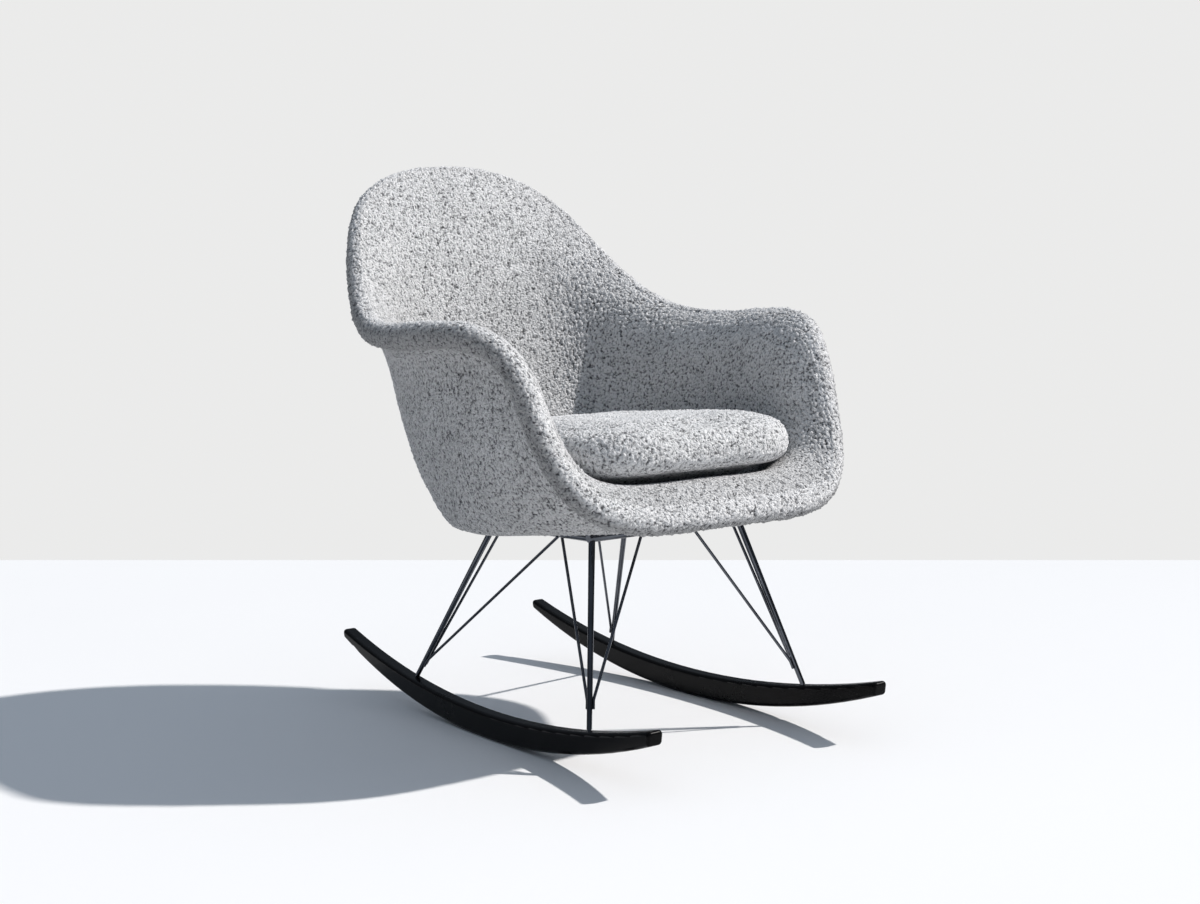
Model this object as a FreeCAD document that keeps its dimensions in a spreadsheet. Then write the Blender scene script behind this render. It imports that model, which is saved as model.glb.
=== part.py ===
# Rocking armchair: a padded moulded bucket seat with a loose cushion, on a steel rod base
# with two curved rockers.  Millimetres, +Z up, the seat faces -Y, X = 0 is the mirror plane.
# The origin is under the middle of the chair, on the floor line of the rockers; the soles touch
# the floor a little ahead of it, under the centre of mass.
import FreeCAD, Part
import Sketcher
import math, os

V = FreeCAD.Vector
doc = FreeCAD.newDocument("rocking_armchair")

# ------------------------------------------------------------------ driving dimensions
sheet = doc.addObject("Spreadsheet::Sheet", "Dimensions")
sheet.Label = "dimensions"
DIMS = [
    # rockers
    ("rocker_track", 350.0, "distance between the middles of the two rockers"),
    ("rocker_width", 22.0, "width of a rocker across its sole"),
    ("rocker_sole_radius", 1282.0, "radius of the curved sole"),
    ("rocker_top_radius", 1771.0, "radius of the upper edge"),
    ("rocker_depth", 35.4, "height of a rocker above its floor contact"),
    ("rocker_front", 397.2, "front tip, ahead of the floor contact"),
    ("rocker_rear", 447.6, "rear tip, behind the floor contact"),
    ("rocker_edge_round", 5.0, "rounding of the long edges"),
    ("rocker_tip_round", 4.0, "rounding of the end faces"),
    ("contact_y", -25.5, "floor contact of the soles, ahead of the origin if negative"),
    # legs and braces
    ("leg_top_radius", 4.3, "leg rod at the top frame"),
    ("leg_foot_radius", 3.4, "leg rod just above the rocker"),
    ("tenon_radius", 2.6, "turned-down end held in the rocker"),
    ("tenon_length", 15.5, "depth of that end in the rocker"),
    ("brace_radius", 2.0, "brace wire"),
    ("rail_radius", 5.6, "rod of the top frame"),
    ("frame_height", 280.1, "middle of the top frame rods"),
    ("front_leg_top_x", 117.1, ""), ("front_leg_top_y", 217.7, "ahead of the origin"),
    ("rear_leg_top_x", 112.7, ""), ("rear_leg_top_y", 38.9, "behind the origin"),
    ("front_leg_foot_x", 171.7, ""), ("front_leg_foot_y", 274.2, ""),
    ("rear_leg_foot_x", 173.5, ""), ("rear_leg_foot_y", 191.6, ""),
    ("front_brace_x", 40.0, "top of a front brace wire"),
    ("rear_brace_x_left", 98.0, "top of the left rear brace wire"),
    ("rear_brace_x_right", 56.0, "top of the right rear brace wire"),
    ("side_brace_y", 141.2, "top of the left side brace wires, ahead of the origin"),
    ("side_stay_y", 201.0, "top of the right side wire, ahead of the origin"),
    # seat fixings
    ("strap_width", 28.0, ""), ("strap_thick", 3.0, ""),
    ("bolt_x", 62.0, "seat fixings, either side of the middle"),
    ("bolt_y_front", 99.1, "ahead of the origin"), ("bolt_y_rear", -5.1, "behind the origin"),
    ("mount_radius", 17.0, "rubber shock mount"), ("mount_height", 5.1, ""),
    ("bolt_radius", 3.0, ""), ("bolt_hole_radius", 3.3, ""), ("bolt_head_radius", 5.2, ""),
    ("bolt_head_height", 4.0, ""), ("washer_radius", 8.0, ""), ("washer_thick", 1.4, ""),
    ("tee_nut_radius", 9.5, ""), ("tee_nut_flange", 1.6, ""), ("tee_nut_barrel", 4.4, ""),
    # seat shell build-up, measured from the middle surface of the padded wall
    ("wall_half", 16.5, "half of the padded wall"),
    ("cover_thick", 2.2, "upholstery fabric"),
    ("layer_gap", 0.6, "clearance between the layers"),
    ("shell_inner", 2.3, "inner face of the moulded shell"),
    ("shell_outer", 3.7, "outer face of the moulded shell"),
    # seat cushion
    ("cushion_half_width", 180.5, ""), ("cushion_half_length", 210.0, ""),
    ("cushion_middle_y", 119.1, "ahead of the origin"),
    ("cushion_edge_height", 384.0, "middle of the cushion's edge"),
    ("cushion_edge_half", 31.0, "half height of the rounded edge"),
    ("cushion_top", 425.5, "crown of the cushion"),
    ("cushion_bottom", 323.7, "lowest part of the cushion"),
    ("cushion_cover_thick", 2.0, ""),
    ("zip_length", 150.0, ""), ("zip_width", 16.0, ""),
]
for i, (name, value, note) in enumerate(DIMS, start=1):
    sheet.set("A%d" % i, name)
    sheet.set("B%d" % i, repr(value))
    sheet.setAlias("B%d" % i, name)
    if note:
        sheet.set("C%d" % i, note)
doc.recompute()
D = {name: float(sheet.get(name)) for name, value, note in DIMS}
S = "Dimensions."
pieces = []


def keep(obj, label):
    obj.Label = label
    pieces.append(obj)
    return obj


def role(body, name):
    for f in body.Origin.OriginFeatures:
        if f.Role == name:
            return f
    raise RuntimeError("no origin plane " + name)


# ------------------------------------------------------------------ rockers
def z_sole(y):
    r, y = D["rocker_sole_radius"], y - D["contact_y"]
    return r - math.sqrt(r * r - y * y)


def z_top(y):
    r, y = D["rocker_top_radius"], y - D["contact_y"]
    return D["rocker_depth"] + r - math.sqrt(r * r - y * y)


def leg_line(which, side):
    """Foot point on the rocker's upper face, top point on the frame, and the unit vector up."""
    fy = -D["front_leg_foot_y"] if which == "front" else D["rear_leg_foot_y"]
    ty = -D["front_leg_top_y"] if which == "front" else D["rear_leg_top_y"]
    foot = V(side * D[which + "_leg_foot_x"], fy, z_top(fy))
    top = V(side * D[which + "_leg_top_x"], ty, D["frame_height"])
    up = top.sub(foot)
    up.normalize()
    return foot, top, up


def rocker_body(label, side):
    body = doc.addObject("PartDesign::Body", label)
    sk = body.newObject("Sketcher::SketchObject", label + "_profile")
    sk.AttachmentSupport = [(role(body, "YZ_Plane"), "")]
    sk.MapMode = "FlatFace"
    yf, yr, y0 = -D["rocker_front"], D["rocker_rear"], D["contact_y"]
    # points of the side profile (sketch x = Y from the floor contact, sketch y = Z)
    pf0, pf1 = V(yf + 4, z_sole(yf + 4 + y0), 0), V(yf, z_top(yf + y0), 0)
    pr0, pr1 = V(yr - 3, z_sole(yr - 3 + y0), 0), V(yr, z_top(yr + y0) + 2.0, 0)
    rs, rt = D["rocker_sole_radius"], D["rocker_top_radius"]

    def arc(p, q, mid):
        """Arc from the front point p under or over mid to the rear point q."""
        a = Part.Circle(p, mid, q)
        c = Part.Circle(a.Center, V(0, 0, 1), a.Radius)
        return Part.ArcOfCircle(c, math.atan2(p.y - a.Center.y, p.x - a.Center.x), math.atan2(q.y - a.Center.y, q.x - a.Center.x))

    g0 = sk.addGeometry(arc(pf0, pr0, V(0, 0, 0)), False)
    g1 = sk.addGeometry(Part.LineSegment(pr0, pr1), False)
    g2 = sk.addGeometry(arc(pf1, pr1, V(0, D["rocker_depth"], 0)), False)
    g3 = sk.addGeometry(Part.LineSegment(pf1, pf0), False)
    C = Sketcher.Constraint

    drawn = list(sk.Geometry)

    def end_of(g, p):
        return 1 if (drawn[g].StartPoint - p).Length < 1e-3 else 2

    def join(ga, gb, p):
        sk.addConstraint(C("Coincident", ga, end_of(ga, p), gb, end_of(gb, p)))

    join(g0, g1, pr0)
    join(g1, g2, pr1)
    join(g2, g3, pf1)
    join(g3, g0, pf0)
    # the sole's circle stands on the floor line under its own middle
    sk.addConstraint(C("PointOnObject", g0, 3, -2))
    c = sk.addConstraint(C("Radius", g0, rs))
    sk.renameConstraint(c, "sole_radius")
    sk.setExpression("Constraints.sole_radius", S + "rocker_sole_radius")
    c = sk.addConstraint(C("DistanceY", -1, 1, g0, 3, rs))
    sk.renameConstraint(c, "sole_centre")
    sk.setExpression("Constraints.sole_centre", S + "rocker_sole_radius")
    c = sk.addConstraint(C("Radius", g2, drawn[g2].Radius))
    sk.renameConstraint(c, "top_radius")
    c = sk.addConstraint(C("DistanceX", g3, end_of(g3, pf1), -1, 1, D["rocker_front"]))
    sk.renameConstraint(c, "front_tip")
    sk.setExpression("Constraints.front_tip", S + "rocker_front")
    c = sk.addConstraint(C("DistanceX", -1, 1, g1, end_of(g1, pr1), D["rocker_rear"]))
    sk.renameConstraint(c, "rear_tip")
    sk.setExpression("Constraints.rear_tip", S + "rocker_rear")
    pad = body.newObject("PartDesign::Pad", label + "_bar")
    pad.Profile = sk
    pad.SideType = "Symmetric" if hasattr(pad, "SideType") else pad.SideType
    pad.Length = D["rocker_width"]
    pad.setExpression("Length", S + "rocker_width")
    doc.recompute()
    # the long edges are rounded first
    names = []
    for n, e in enumerate(pad.Shape.Edges, start=1):
        if e.Length > 300:
            names.append("Edge%d" % n)
    fil = body.newObject("PartDesign::Fillet", label + "_long_edges")
    fil.Base = (pad, names)
    fil.Radius = D["rocker_edge_round"]
    fil.setExpression("Radius", S + "rocker_edge_round")
    doc.recompute()
    # then the outline of each end face
    names = []
    for face in fil.Shape.Faces:
        if face.Surface.TypeId == "Part::GeomPlane" and abs(face.normalAt(0, 0).x) < 0.5:
            for e in face.Edges:
                for n, f in enumerate(fil.Shape.Edges, start=1):
                    if f.isSame(e):
                        names.append("Edge%d" % n)
    tips = body.newObject("PartDesign::Fillet", label + "_tips")
    tips.Base = (fil, names)
    tips.Radius = D["rocker_tip_round"]
    tips.setExpression("Radius", S + "rocker_tip_round")
    body.Tip = tips
    doc.recompute()
    body.Placement = FreeCAD.Placement(V(side * D["rocker_track"] / 2.0, D["contact_y"], 0), FreeCAD.Rotation())
    return body


def cyl(name, p, axis, length, radius, radius_alias=None, cone_to=None):
    rot = FreeCAD.Rotation(V(0, 0, 1), axis)
    if cone_to is None:
        o = doc.addObject("Part::Cylinder", name)
        o.Radius = radius
        if radius_alias:
            o.setExpression("Radius", S + radius_alias)
    else:
        o = doc.addObject("Part::Cone", name)
        o.Radius1 = radius
        o.Radius2 = cone_to[0]
        o.setExpression("Radius1", S + radius_alias)
        o.setExpression("Radius2", S + cone_to[1])
    o.Height = length
    o.Placement = FreeCAD.Placement(p, rot)
    return o


COUNTERBORE = 5.2
WEB = 9.0


def fuse(name, objs):
    o = doc.addObject("Part::MultiFuse", name)
    o.Shapes = objs
    return o


def cut(name, base, tool):
    o = doc.addObject("Part::Cut", name)
    o.Base = base
    o.Tool = tool
    return o


for side, word in ((-1, "left"), (1, "right")):
    bar = rocker_body("rocker_bar_" + word, side)
    tools = []
    for which in ("front", "rear"):
        foot, top, up = leg_line(which, side)
        # socket for the leg's tenon, then a web with a screw hole, then the screw's counterbore
        start = foot - up * (D["tenon_length"] + 0.2)
        tools.append(cyl("socket_%s_%s" % (which, word), start, up, D["tenon_length"] + 20, D["tenon_radius"] + 0.05))
        tools[-1].setExpression("Radius", S + "tenon_radius + 0.05")
        tools.append(cyl("screw_hole_%s_%s" % (which, word), foot - up * 60, up, 60, 2.2))
        tools.append(cyl("counterbore_%s_%s" % (which, word), foot - up * 60, up, 60 - D["tenon_length"] - WEB + 3.0, COUNTERBORE))
    keep(cut("rocker_cut_" + word, bar, fuse("rocker_holes_" + word, tools)), "rocker_" + word)

# ------------------------------------------------------------------ top frame
zf = D["frame_height"]
FL = {s: V(s * D["front_leg_top_x"], -D["front_leg_top_y"], zf) for s in (-1, 1)}
RL = {s: V(s * D["rear_leg_top_x"], D["rear_leg_top_y"], zf) for s in (-1, 1)}
rr = D["rail_radius"]
front_rail = cyl("front_rail_rod", V(-D["front_leg_top_x"] - rr, -D["front_leg_top_y"], zf), V(1, 0, 0), 2 * (D["front_leg_top_x"] + rr), rr, "rail_radius")
front_rail.setExpression("Height", "2 * (" + S + "front_leg_top_x + " + S + "rail_radius)")
keep(front_rail, "front_rail")
rear_rail = cyl("rear_rail_rod", V(-D["rear_leg_top_x"] - rr, D["rear_leg_top_y"], zf), V(1, 0, 0), 2 * (D["rear_leg_top_x"] + rr), rr, "rail_radius")
rear_rail.setExpression("Height", "2 * (" + S + "rear_leg_top_x + " + S + "rail_radius)")
keep(rear_rail, "rear_rail")
cross = {"front": front_rail, "rear": rear_rail}
side_rail = {}
for side, word in ((-1, "left"), (1, "right")):
    a, b = FL[side], RL[side]
    d = b.sub(a)
    rod = cyl("side_rail_rod_" + word, a, d, d.Length, rr, "rail_radius")
    both = doc.addObject("Part::MultiFuse", "cross_rails_" + word)
    both.Shapes = [front_rail, rear_rail]
    side_rail[side] = keep(cut("side_rail_cut_" + word, rod, both), "side_rail_" + word)
doc.recompute()

strap_z = zf - D["strap_thick"] / 2.0 + 2.6
STRAP_TOP = strap_z + D["strap_thick"]


def strap(label, y):
    """Flat bar between the side rails, with two fixing holes."""
    t = (y + D["front_leg_top_y"]) / (D["rear_leg_top_y"] + D["front_leg_top_y"])
    half = D["front_leg_top_x"] + t * (D["rear_leg_top_x"] - D["front_leg_top_x"]) + 4.0
    body = doc.addObject("PartDesign::Body", label + "_body")
    sk = body.newObject("Sketcher::SketchObject", label + "_outline")
    sk.AttachmentSupport = [(role(body, "XY_Plane"), "")]
    sk.MapMode = "FlatFace"
    C = Sketcher.Constraint
    w = D["strap_width"] / 2.0
    pts = [V(-half, -w, 0), V(half, -w, 0), V(half, w, 0), V(-half, w, 0)]
    for i in range(4):
        sk.addGeometry(Part.LineSegment(pts[i], pts[(i + 1) % 4]), False)
    for i in range(4):
        sk.addConstraint(C("Coincident", i, 2, (i + 1) % 4, 1))
    sk.addConstraint(C("Horizontal", 0))
    sk.addConstraint(C("Horizontal", 2))
    sk.addConstraint(C("Vertical", 1))
    sk.addConstraint(C("Vertical", 3))
    sk.addConstraint(C("Symmetric", 0, 1, 2, 1, -1, 1))
    c = sk.addConstraint(C("DistanceY", 1, 1, 1, 2, 2 * w))
    sk.renameConstraint(c, "bar_width")
    sk.setExpression("Constraints.bar_width", S + "strap_width")
    c = sk.addConstraint(C("DistanceX", 0, 1, 0, 2, 2 * half))
    sk.renameConstraint(c, "bar_length")
    for s in (-1, 1):
        g = sk.addGeometry(Part.Circle(V(s * D["bolt_x"], 0, 0), V(0, 0, 1), D["bolt_hole_radius"]), False)
        sk.addConstraint(C("PointOnObject", g, 3, -1))
        c = sk.addConstraint(C("Radius", g, D["bolt_hole_radius"]))
        sk.renameConstraint(c, "hole_radius_" + ("a" if s < 0 else "b"))
        sk.setExpression("Constraints.hole_radius_" + ("a" if s < 0 else "b"), S + "bolt_hole_radius")
        if s > 0:
            c = sk.addConstraint(C("DistanceX", -1, 1, g, 3, D["bolt_x"]))
        else:
            c = sk.addConstraint(C("DistanceX", g, 3, -1, 1, D["bolt_x"]))
        sk.renameConstraint(c, "hole_x_" + ("a" if s < 0 else "b"))
        sk.setExpression("Constraints.hole_x_" + ("a" if s < 0 else "b"), S + "bolt_x")
    pad = body.newObject("PartDesign::Pad", label + "_pad")
    pad.Profile = sk
    pad.Length = D["strap_thick"]
    pad.setExpression("Length", S + "strap_thick")
    body.Tip = pad
    doc.recompute()
    body.Placement = FreeCAD.Placement(V(0, y, strap_z), FreeCAD.Rotation())
    rails = doc.addObject("Part::MultiFuse", label + "_rails")
    rails.Shapes = [side_rail[-1], side_rail[1]]
    whole = cut(label + "_cut", body, rails)
    doc.recompute()
    # the part beyond the rails falls away
    mid = doc.addObject("Part::Feature", label + "_between_rails")
    solids = sorted(whole.Shape.Solids, key=lambda s: s.Volume)
    mid.Shape = solids[-1]
    return keep(mid, label)


strap("front_strap", -D["bolt_y_front"])
strap("rear_strap", D["bolt_y_rear"])

# ------------------------------------------------------------------ legs
# each leg ends in a saddle on its cross rail, shaped as if that rail ran on past its end
saddle = {}
for which in ("front", "rear"):
    x, y = D[which + "_leg_top_x"] + 40.0, -D["front_leg_top_y"] if which == "front" else D["rear_leg_top_y"]
    saddle[which] = cyl("saddle_" + which, V(-x, y, zf), V(1, 0, 0), 2 * x, rr, "rail_radius")
SHOULDER = {"front": 1.2, "rear": 2.9}            # the rear legs lean more, so their shoulder stands higher
for which in ("front", "rear"):
    for side, word in ((-1, "left"), (1, "right")):
        foot, top, up = leg_line(which, side)
        length = top.sub(foot).Length
        shaft = cyl("shaft_%s_%s" % (which, word), foot + up * SHOULDER[which], up, length - SHOULDER[which], D["leg_foot_radius"], "leg_foot_radius", (D["leg_top_radius"], "leg_top_radius"))
        tenon = cyl("tenon_%s_%s" % (which, word), foot - up * D["tenon_length"], up, D["tenon_length"] + SHOULDER[which] + 0.2, D["tenon_radius"], "tenon_radius")
        bore = cyl("tenon_bore_%s_%s" % (which, word), foot - up * D["tenon_length"], up, 11.0, 1.55)
        rod = cut("leg_rod_%s_%s" % (which, word), fuse("leg_blank_%s_%s" % (which, word), [shaft, tenon]), bore)
        under_cross = cut("leg_under_cross_%s_%s" % (which, word), rod, saddle[which])
        leg = cut("leg_%s_%s" % (which, word), under_cross, side_rail[side])
        doc.recompute()
        solids = sorted(leg.Shape.Solids, key=lambda s: s.Volume)
        whole = doc.addObject("Part::Feature", "leg_trimmed_%s_%s" % (which, word))
        whole.Shape = solids[-1]
        keep(whole, "%s_leg_%s" % (which, word))

# ------------------------------------------------------------------ brace wires
rb = D["brace_radius"]


def leg_point(which, side, z, out):
    """A point beside a leg at height z, pushed off its axis by the vector out."""
    foot, top, up = leg_line(which, side)
    p = foot + up * ((z - foot.z) / up.z)
    return p + out, up


def wire(label, which, side, top, out, cutters):
    """A wire: a short foot lying along the leg, a bend, and a straight run up to the frame."""
    foot, ltop, up = leg_line(which, side)
    t = 26.0
    base = foot + up * t
    rad = D["leg_foot_radius"] + (D["leg_top_radius"] - D["leg_foot_radius"]) * t / ltop.sub(foot).Length
    o = out - up * out.dot(up)
    o.normalize()
    p0 = base + o * (rad + rb - 0.15)
    p1 = p0 + up * 11.0
    a = up
    b = top.sub(p1)
    b.normalize()
    turn = math.acos(max(-1.0, min(1.0, a.dot(b))))
    bend = 12.0
    cutback = bend * math.tan(turn / 2.0)
    q0 = p1 - a * min(cutback, 9.0)
    q1 = p1 + b * min(cutback, 9.0)
    mid = p1 + (b - a) * (0.5 * 0)
    # the bend is an arc tangent to both runs
    h = (b - a)
    h.normalize()
    c = min(cutback, 9.0)
    R = c / math.tan(turn / 2.0)
    centre = p1 + h * (R / math.cos(turn / 2.0))
    m = centre + (p1 - centre).normalize() * R
    e = [Part.LineSegment(p0, q0).toShape(), Part.Arc(q0, m, q1).toShape(), Part.LineSegment(q1, top).toShape()]
    path = Part.Wire(e)
    ring = Part.Wire([Part.Circle(p0, a, rb).toShape()])
    solid = path.makePipeShell([ring], True, True)
    raw = doc.addObject("Part::Feature", label + "_wire")
    raw.Shape = solid
    cutter = doc.addObject("Part::MultiFuse", label + "_trim")
    cutter.Shapes = cutters
    trimmed = cut(label + "_cut", raw, cutter)
    doc.recompute()
    solids = sorted(trimmed.Shape.Solids, key=lambda s: s.Volume)
    whole = doc.addObject("Part::Feature", label + "_trimmed")
    whole.Shape = solids[-1]
    return keep(whole, label)


by_label = {o.Label: o for o in pieces}
for side, word in ((-1, "left"), (1, "right")):
    a, b = FL[side], RL[side]
    ys = -D["side_brace_y"] if side < 0 else -D["side_stay_y"]
    t = (ys - a.y) / (b.y - a.y)
    apex = a + (b - a) * t
    apex = V(apex.x, apex.y, zf - 2.2)
    rail = side_rail[side]
    fl, rl = by_label["front_leg_" + word], by_label["rear_leg_" + word]
    wire("side_brace_front_" + word, "front", side, apex + V(0, -2.3, 0), V(0, 1, 0), [rail, fl])
    if side < 0:
        wire("side_brace_rear_" + word, "rear", side, apex + V(0, 2.3, 0), V(0, -1, 0), [rail, rl])
    wire("front_brace_" + word, "front", side, V(side * D["front_brace_x"], -D["front_leg_top_y"], zf - 2.2), V(-side, 0, 0), [front_rail, fl])
    wire("rear_brace_" + word, "rear", side, V(side * D["rear_brace_x_" + word], D["rear_leg_top_y"], zf - 2.2), V(-side, 0, 0), [rear_rail, rl])

# ------------------------------------------------------------------ turned and pressed fittings
def turned(label, pts, places):
    """A piece turned from a half profile (radius, height), repeated at the given places."""
    body = doc.addObject("PartDesign::Body", label + "_body")
    sk = body.newObject("Sketcher::SketchObject", label + "_profile")
    sk.AttachmentSupport = [(role(body, "XZ_Plane"), "")]
    sk.MapMode = "FlatFace"
    n = len(pts)
    for i in range(n):
        p, q = pts[i], pts[(i + 1) % n]
        sk.addGeometry(Part.LineSegment(V(p[0], p[1], 0), V(q[0], q[1], 0)), False)
    for i in range(n):
        sk.addConstraint(Sketcher.Constraint("Coincident", i, 2, (i + 1) % n, 1))
    rev = body.newObject("PartDesign::Revolution", label + "_turn")
    rev.Profile = sk
    rev.ReferenceAxis = (sk, ["V_Axis"])
    rev.Angle = 360.0
    body.Tip = rev
    doc.recompute()
    group = doc.addObject("Part::Compound", label + "_set")
    links = []
    for j, pl in enumerate(places):
        f = doc.addObject("Part::Feature", "%s_%d" % (label, j + 1))
        f.Shape = rev.Shape.copy()
        f.Placement = pl.multiply(rev.Shape.Placement)
        links.append(f)
    group.Links = links
    return keep(group, label)


def at(p, axis=V(0, 0, 1)):
    return FreeCAD.Placement(p, FreeCAD.Rotation(V(0, 0, 1), axis))


FIX = [(s * D["bolt_x"], y) for y in (-D["bolt_y_front"], D["bolt_y_rear"]) for s in (-1, 1)]
mr, mh, bh = D["mount_radius"], D["mount_height"], D["bolt_hole_radius"]
turned("shock_mounts", [(bh, 0), (mr - 3, 0), (mr - 1.6, 1.2), (mr - 3.2, 3.0), (mr, mh - 1.2), (mr - 1.0, mh), (bh, mh)],
       [at(V(x, y, STRAP_TOP)) for x, y in FIX])
SEAT_UNDER = STRAP_TOP + mh                      # underside of the padded seat
MID = SEAT_UNDER + D["wall_half"]                # middle surface of its flat part
wt, wr = D["washer_thick"], D["washer_radius"]
turned("mount_washers", [(bh, 0), (wr, 0), (wr, wt), (bh, wt)], [at(V(x, y, strap_z - wt)) for x, y in FIX])
shell_top = MID + D["shell_inner"]
bolt_end = shell_top + 0.6
hr, hh, br = D["bolt_head_radius"], D["bolt_head_height"], D["bolt_radius"]
zb = strap_z - wt
L = bolt_end - zb
turned("mount_bolts", [(0, -hh + 2.2), (2.6, -hh + 2.2), (2.6, -hh), (hr - 0.8, -hh), (hr, -hh + 0.9), (hr, 0), (br, 0), (br, L), (0, L)],
       [at(V(x, y, zb)) for x, y in FIX])
tr, tf, tb = D["tee_nut_radius"], D["tee_nut_flange"], D["tee_nut_barrel"]
TEE_BARREL_R = 4.3
turned("tee_nuts", [(br, -tb), (TEE_BARREL_R, -tb), (TEE_BARREL_R, 0), (tr, 0), (tr, tf), (br, tf)],
       [at(V(x, y, shell_top)) for x, y in FIX])

# screws up into the leg tenons, and the plugs that close their holes in the soles
screw_places, plug_places = [], []
for which in ("front", "rear"):
    for side in (-1, 1):
        foot, top, up = leg_line(which, side)
        seat = foot - up * (D["tenon_length"] + WEB - 3.0)
        screw_places.append(at(seat, up))
        # the plug ends just inside the sole
        y = foot.y - up.y * 40.0
        t = (foot.z - z_sole(y)) / up.z
        y = foot.y - up.y * t
        t = (foot.z - z_sole(y)) / up.z
        plug_places.append(at(foot - up * (t - 1.6), up))
turned("leg_screws", [(0, -1.2), (1.4, -1.2), (1.4, -2.6), (4.1, -2.6), (4.1, 0), (1.5, 0), (1.5, 14.0), (0, 14.6)], screw_places)
turned("screw_plugs", [(0, 0), (4.6, 0), (5.15, 0.6), (5.15, 2.4), (0, 2.4)], plug_places)

# ------------------------------------------------------------------ padded seat: control net
# Half of the middle surface of the wall, x >= 0, from the front centre (row 0) round to the back
# centre (row 16); each row runs from the flat middle of the seat out to the rim.
SC = 1.1
NET = [
 [(0,-107,278),(0,-141,278),(0,-185,275),(0,-217,294),(0,-243,306),(0,-262,305),(0,-289,278)],
 [(24,-105,278),(33,-140,278),(44,-184,275),(54,-217,293),(60,-242,305),(62,-262,303),(68,-288,275)],
 [(47,-98,278),(63,-134,278),(84,-177,275),(103,-211,294),(113,-237,306),(118,-257,304),(131,-285,278)],
 [(67,-86,278),(88,-121,278),(116,-162,276),(140,-197,299),(151,-225,317),(159,-246,316),(174,-269,299)],
 [(83,-69,278),(107,-102,278),(140,-141,276),(165,-177,312),(174,-207,342),(184,-230,349),(198,-245,341)],
 [(95,-51,278),(121,-79,278),(157,-116,273),(181,-156,327),(186,-191,376),(194,-215,393),(207,-225,392)],
 [(102,-33,278),(131,-55,278),(169,-89,268),(191,-132,343),(192,-173,410),(197,-199,437),(214,-208,442)],
 [(107,-15,278),(138,-32,278),(178,-59,263),(199,-100,355),(198,-146,436),(203,-172,470),(226,-183,478)],
 [(109,3,278),(141,-8,278),(183,-25,260),(204,-58,362),(205,-100,451),(212,-124,487),(243,-135,496)],
 [(107,23,278),(139,20,278),(180,16,261),(204,-4,364),(209,-34,452),(218,-52,488),(255,-57,499)],
 [(101,42,278),(132,49,278),(170,58,264),(198,55,366),(206,41,448),(218,31,482),(256,34,498)],
 [(90,61,278),(119,75,278),(154,97,271),(184,113,370),(194,112,449),(207,110,486),(241,119,510)],
 [(75,76,278),(102,96,278),(133,129,280),(161,162,382),(173,172,470),(186,179,519),(216,192,551)],
 [(57,87,278),(80,111,278),(105,149,288),(133,195,400),(148,217,510),(163,234,581),(190,257,620)],
 [(38,94,278),(54,120,278),(73,161,295),(98,216,417),(115,249,548),(129,274,641),(153,309,689)],
 [(19,98,278),(28,126,278),(38,169,300),(52,227,426),(62,264,567),(71,291,670),(85,331,725)],
 [(0,100,278),(0,128,278),(0,171,301),(0,230,429),(0,268,572),(0,293,678),(0,334,736)],
]
DZ = MID - 278 * SC
DY = -33.1
half_net = [[V(x * SC, y * SC + DY, z * SC + DZ) for x, y, z in row] for row in NET]
net = half_net + [[V(-p.x, p.y, p.z) for p in row] for row in reversed(half_net[1:-1])]
NU = len(net)
NR = len(net[0])


def clamped_knots(n):
    return [0.0] * 4 + [i / (n - 3.0) for i in range(1, n - 3)] + [1.0] * 4


def basis(n, kn, v):
    v = min(max(v, 0.0), 1.0 - 1e-12)
    b = [1.0 if kn[j] <= v < kn[j + 1] else 0.0 for j in range(len(kn) - 1)]
    for d in range(1, 4):
        b = [((v - kn[j]) / (kn[j + d] - kn[j]) * b[j] if kn[j + d] > kn[j] else 0.0) +
             ((kn[j + d + 1] - v) / (kn[j + d + 1] - kn[j + 1]) * b[j + 1] if kn[j + d + 1] > kn[j + 1] else 0.0)
             for j in range(len(b) - 1)]
    return b


def solve(a, rhs):
    """Gaussian elimination; rhs rows are lists of vectors."""
    n = len(a)
    a = [row[:] for row in a]
    rhs = [row[:] for row in rhs]
    for i in range(n):
        p = max(range(i, n), key=lambda r: abs(a[r][i]))
        a[i], a[p] = a[p], a[i]
        rhs[i], rhs[p] = rhs[p], rhs[i]
        for r in range(i + 1, n):
            f = a[r][i] / a[i][i]
            if f:
                a[r] = [x - f * y for x, y in zip(a[r], a[i])]
                rhs[r] = [x - y * f for x, y in zip(rhs[r], rhs[i])]
    out = [None] * n
    for i in range(n - 1, -1, -1):
        acc = rhs[i][:]
        for j in range(i + 1, n):
            if a[i][j]:
                acc = [x - y * a[i][j] for x, y in zip(acc, out[j])]
        out[i] = [x * (1.0 / a[i][i]) for x in acc]
    return out


kn_mid = clamped_knots(NR)


def middle(i, v):
    """Point, inward normal and outward tangent of the middle surface at row i."""
    def row_at(b):
        p, m, q = V(0, 0, 0), V(0, 0, 0), V(0, 0, 0)
        for j in range(NR):
            p += net[(i - 1) % NR_U][j] * b[j]
            m += net[i][j] * b[j]
            q += net[(i + 1) % NR_U][j] * b[j]
        return p, m, q
    b = basis(NR, kn_mid, v)
    p, m, q = row_at(b)
    point = (p + m * 4.0 + q) * (1.0 / 6.0)
    du = (q - p) * 0.5
    h = 1e-4
    v0, v1 = max(0.0, v - h), min(1.0, v + h)
    a = row_at(basis(NR, kn_mid, v0))
    c = row_at(basis(NR, kn_mid, v1))
    pa = (a[0] + a[1] * 4.0 + a[2]) * (1.0 / 6.0)
    pc = (c[0] + c[1] * 4.0 + c[2]) * (1.0 / 6.0)
    dv = pc - pa
    n = dv.cross(du)
    n.normalize()
    if NORMAL_SIGN < 0:
        n = n * -1.0
    t = V(dv.x, dv.y, dv.z)
    t = t - n * t.dot(n)
    t.normalize()
    return point, n, t


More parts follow.
